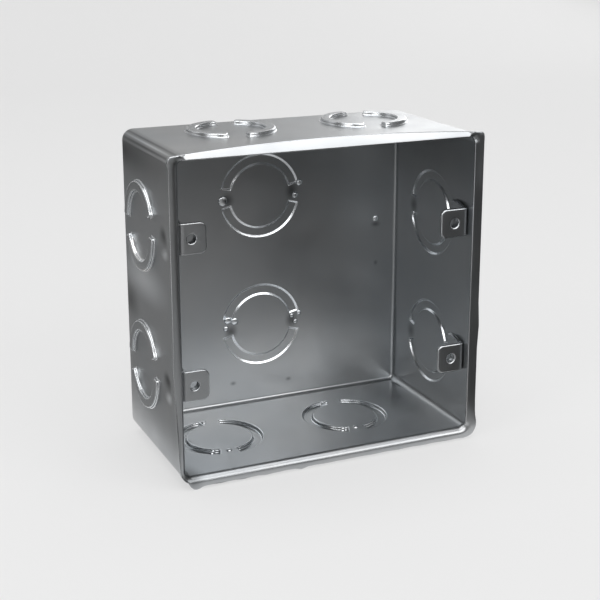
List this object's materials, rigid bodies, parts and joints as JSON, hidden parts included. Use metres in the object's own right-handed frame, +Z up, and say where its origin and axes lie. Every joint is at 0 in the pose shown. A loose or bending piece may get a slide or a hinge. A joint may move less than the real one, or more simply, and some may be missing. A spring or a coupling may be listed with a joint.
{
  "type": "metal back box",
  "caption": "Square pressed-steel back box, open at the front, with round knockouts and welded lugs with tapped holes for a wiring accessory.",
  "frame": {"origin": "centre of the bounding box at its underside, which is the lowest point of the lip's two lower corners", "axes": "+X to the right as seen looking into the open front, +Y into the box from its open front to its back, +Z up along the side walls"},
  "size_m": [0.1072, 0.0552, 0.1064],
  "materials": {
    "pressed_sheet": "satin zinc coating with handling marks",
    "lug_plate": "satin zinc coating"
  },
  "bodies": {
    "root": {"box_body": "pressed_sheet", "lug_left_upper": "lug_plate", "lug_left_lower": "lug_plate", "lug_right_upper": "lug_plate", "lug_right_lower": "lug_plate"}
  },
  "joints": []
}
